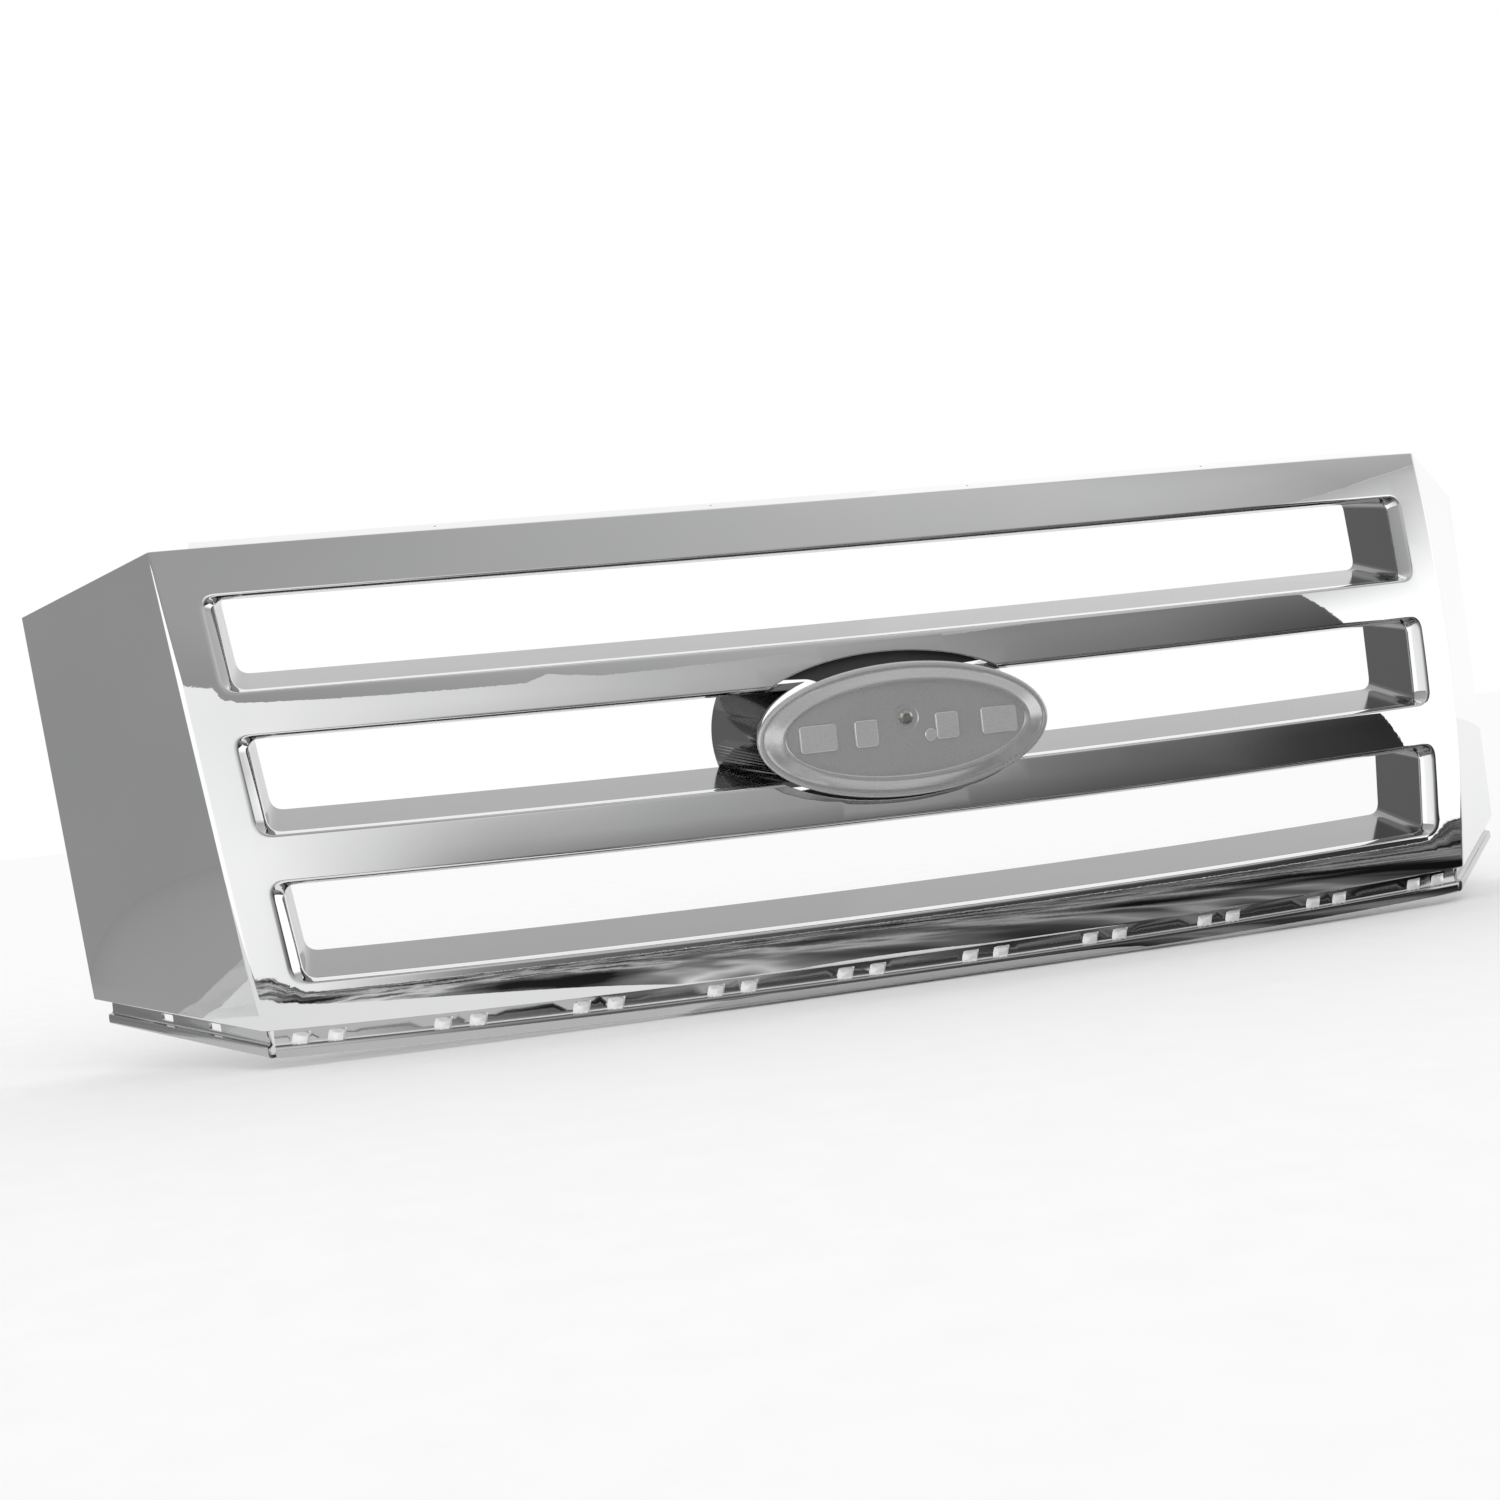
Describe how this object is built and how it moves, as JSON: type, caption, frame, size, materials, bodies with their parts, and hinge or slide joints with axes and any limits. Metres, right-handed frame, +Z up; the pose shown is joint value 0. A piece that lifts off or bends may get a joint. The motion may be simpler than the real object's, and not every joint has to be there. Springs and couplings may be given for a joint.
{
  "type": "vehicle front grille",
  "caption": "Wide bright-plated vehicle front grille with horizontal slots, swept-back side wings, slot liners, an oval emblem seat, a lower rail and black mounting pieces behind.",
  "frame": {"origin": "middle of the upper face of the centre mounting tab, on the vehicle's centre line, where the grille is hung", "axes": "+X across the vehicle (to the right as seen from in front), +Y to the rear (the grille faces -Y), +Z up"},
  "size_m": [1.187, 0.2207, 0.3642],
  "materials": {
    "bright_plating": "bright chrome plating on moulded ABS, mirror smooth",
    "black_plastic": "fine-grained black moulded plastic",
    "black_steel": "black electrocoated sheet steel",
    "zinc_steel": "zinc-plated steel"
  },
  "bodies": {
    "root": {"bottom_spring_clip_01": "zinc_steel", "bottom_spring_clip_02": "zinc_steel", "bottom_spring_clip_03": "zinc_steel", "bottom_spring_clip_04": "zinc_steel", "bottom_spring_clip_05": "zinc_steel", "bottom_spring_clip_06": "zinc_steel", "bottom_stiffener": "black_plastic", "bottom_stiffener_screw_01": "zinc_steel", "bottom_stiffener_screw_02": "zinc_steel", "bottom_stiffener_screw_03": "zinc_steel", "bottom_stiffener_screw_04": "zinc_steel", "emblem_bracket": "black_plastic", "emblem_bracket_screw_01": "zinc_steel", "emblem_bracket_screw_02": "zinc_steel", "emblem_bracket_screw_03": "zinc_steel", "emblem_bracket_screw_04": "zinc_steel", "emblem_seat": "bright_plating", "emblem_seat_screw": "zinc_steel", "front_shell": "bright_plating", "lower_rail_front": "bright_plating", "lower_rail_left": "bright_plating", "lower_rail_right": "bright_plating", "side_bracket_left": "black_steel", "side_bracket_right": "black_steel", "side_bracket_screw_left_01": "zinc_steel", "side_bracket_screw_left_02": "zinc_steel", "side_bracket_screw_right_01": "zinc_steel", "side_bracket_screw_right_02": "zinc_steel", "slot_liner_lower": "bright_plating", "slot_liner_middle_left": "bright_plating", "slot_liner_middle_right": "bright_plating", "slot_liner_upper": "bright_plating", "top_mount_strip": "black_plastic", "top_strip_screw_01": "zinc_steel", "top_strip_screw_02": "zinc_steel", "top_strip_screw_03": "zinc_steel", "top_strip_screw_04": "zinc_steel", "top_tab_nut_01": "zinc_steel", "top_tab_nut_02": "zinc_steel", "top_tab_nut_03": "zinc_steel", "top_tab_nut_04": "zinc_steel"}
  },
  "joints": []
}
